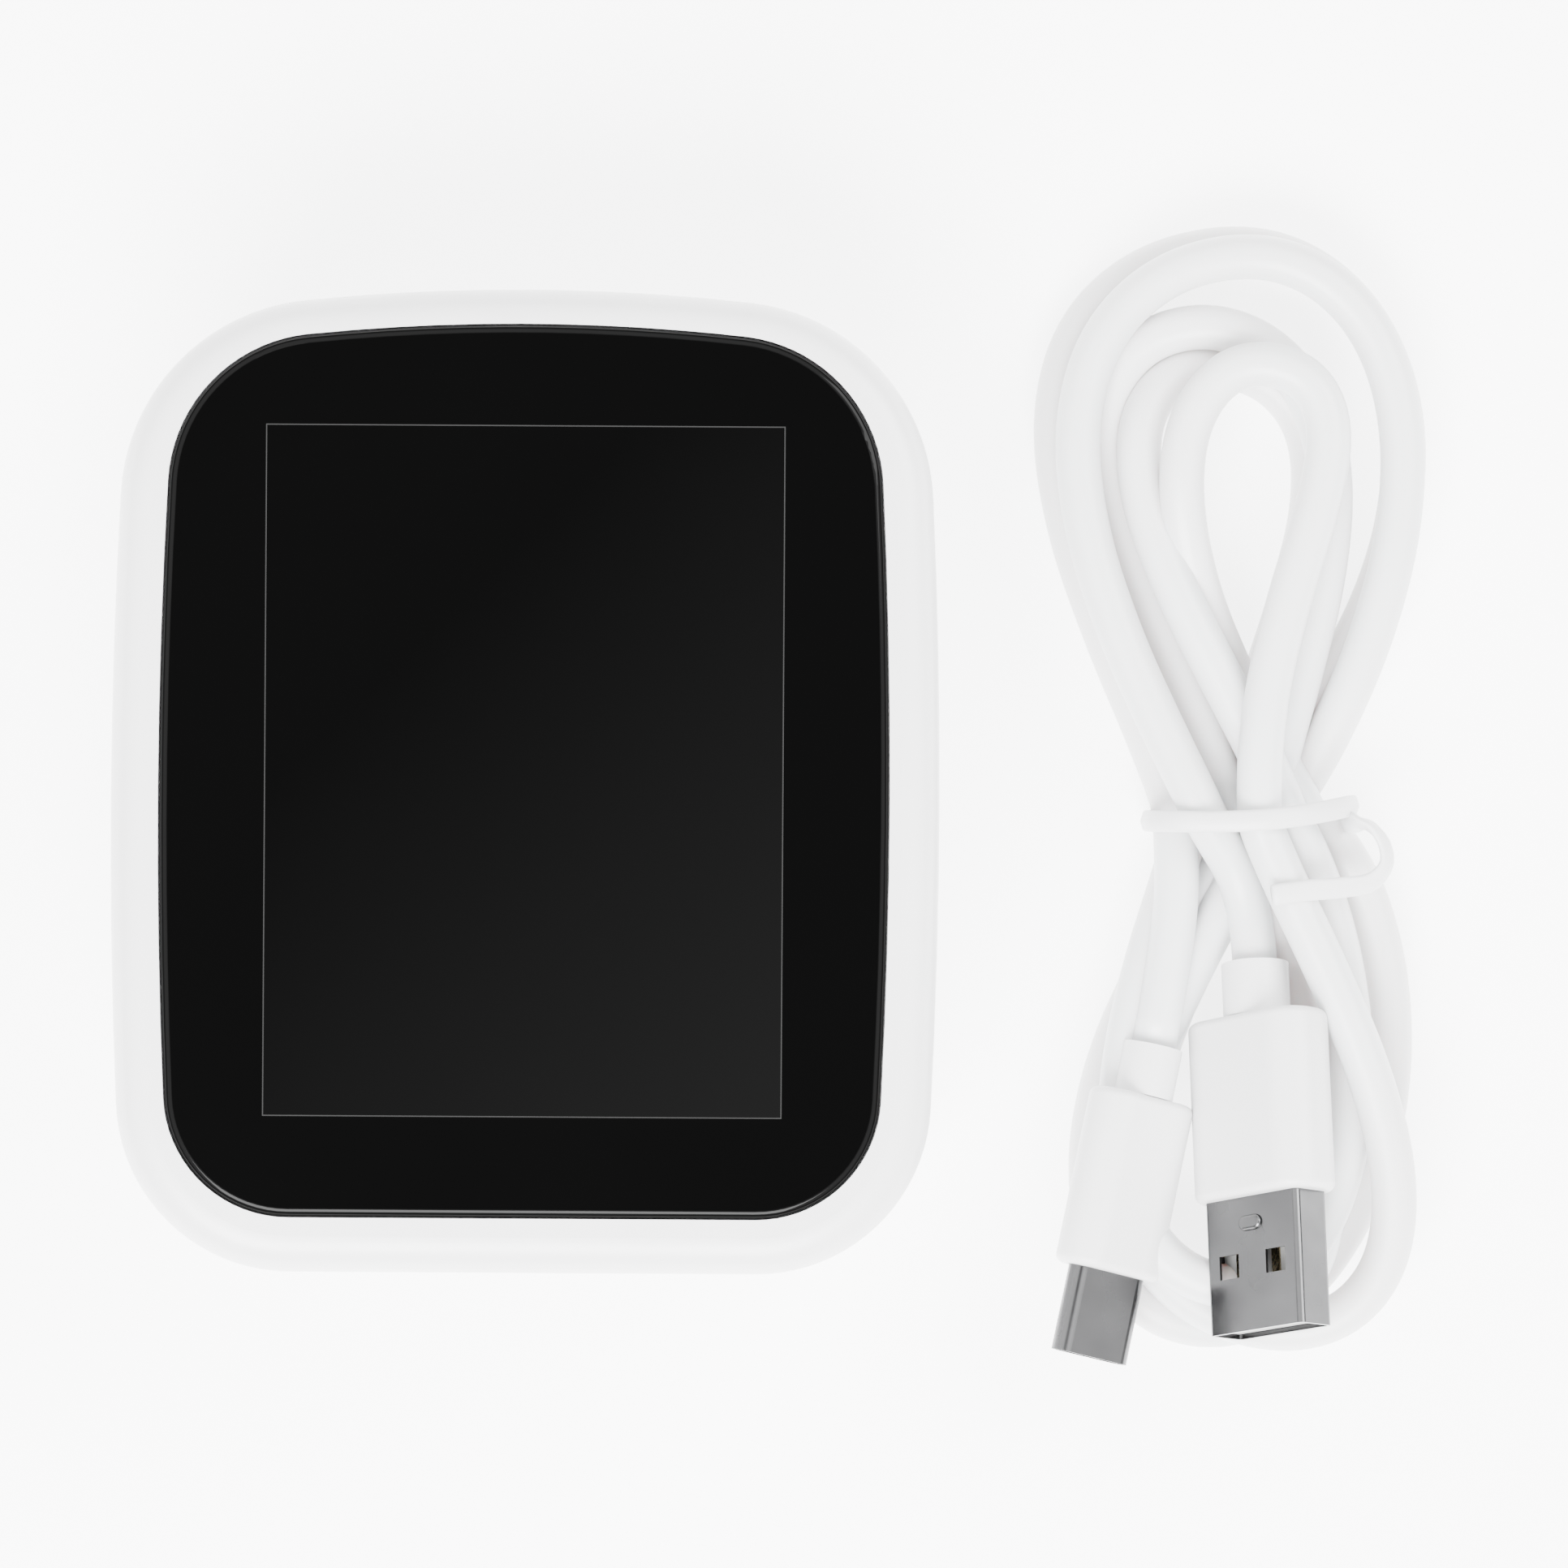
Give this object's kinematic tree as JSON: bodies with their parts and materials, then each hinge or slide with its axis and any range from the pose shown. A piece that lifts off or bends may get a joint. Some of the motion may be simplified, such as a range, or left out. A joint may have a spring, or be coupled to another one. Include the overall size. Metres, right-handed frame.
{
  "type": "air quality monitor",
  "caption": "Small desktop air quality monitor: rounded white case, black display window, air slots in the back and a USB lead tied in a hank beside it.",
  "frame": {"origin": "centre of the case's footprint on the surface that its four feet rest on", "axes": "+Z out of the display, +Y to the top of the display, +X to its right; the monitor lies on its back"},
  "size_m": [0.1265, 0.1111, 0.034],
  "materials": {
    "shell_white": "satin white moulded plastic",
    "button_white": "satin white moulded plastic",
    "window_black": "black-backed glass with a rounded edge",
    "lcd_dark": "dark display glass, switched off",
    "rubber_grey": "soft grey rubber",
    "label_silver": "blank silver-grey label",
    "screw_steel": "zinc-plated steel",
    "foam_black": "black adhesive foam",
    "bezel_steel": "pressed steel",
    "flex_amber": "amber polyimide film",
    "board_green": "green solder mask",
    "component_black": "black moulded plastic",
    "component_ivory": "ivory moulded plastic",
    "filter_grey": "fine grey mesh",
    "cell_silver": "aluminium laminate pouch",
    "wire_red": "red and black wire",
    "usb_steel": "bright nickel-plated steel",
    "plug_white": "white moulded plastic",
    "core_white": "white insulator",
    "core_black": "black insulator",
    "contact_gold": "gold-plated contacts",
    "cord_white": "smooth white cable jacket",
    "tie_white": "white plastic-coated tie"
  },
  "bodies": {
    "case": {"front_shell": "shell_white", "rear_shell": "shell_white", "display_lens": "window_black", "lcd_panel": "lcd_dark", "foot_pads": "rubber_grey", "rating_label": "label_silver", "case_screws": "screw_steel", "board_screws": "screw_steel", "fan_axle": "screw_steel", "lens_adhesive": "foam_black", "lcd_gasket": "foam_black", "sensor_tape": "foam_black", "battery_tape": "foam_black", "fan_gasket": "foam_black", "lcd_backlight": "bezel_steel", "particle_sensor_cover": "bezel_steel", "co2_sensor": "bezel_steel", "formaldehyde_sensor": "bezel_steel", "lcd_flex": "flex_amber", "main_board": "board_green", "board_chips": "component_black", "buzzer": "component_black", "button_switch": "component_black", "particle_sensor_body": "component_black", "usb_socket_core": "component_black", "climate_sensor": "component_black", "flex_connector": "component_ivory", "battery_connector": "component_ivory", "dust_filter": "filter_grey", "battery_cell": "cell_silver", "battery_wires": "wire_red", "usb_socket_shell": "usb_steel"},
    "button": {"power_button": "button_white", "switch_plunger": "component_ivory"},
    "fan": {"fan_rotor": "component_black"},
    "usb_cable": {"usb_a_shell": "usb_steel", "usb_c_shell": "usb_steel", "usb_a_housing": "plug_white", "usb_a_collar": "plug_white", "usb_c_housing": "plug_white", "usb_c_collar": "plug_white", "usb_a_core": "core_white", "usb_c_core": "core_black", "usb_a_contacts": "contact_gold", "cable_hank": "cord_white", "cable_lead_a": "cord_white", "cable_lead_c": "cord_white", "cable_tie": "tie_white"}
  },
  "joints": [
    {"name": "power_button_press", "type": "slide", "parent": "case", "child": "button", "axis": [0, -1, 0], "range_m": [0, 0.0004], "stiffness_N_per_m": 1500},
    {"name": "fan_spin", "type": "hinge", "parent": "case", "child": "fan", "pos_m": [-0.0115, 0.0155, 0.0145], "axis": [0, 0, 1], "continuous": true},
    {"name": "cable_lift", "type": "slide", "parent": "case", "child": "usb_cable", "axis": [0, 0, 1], "range_m": [0, 0.06]}
  ]
}
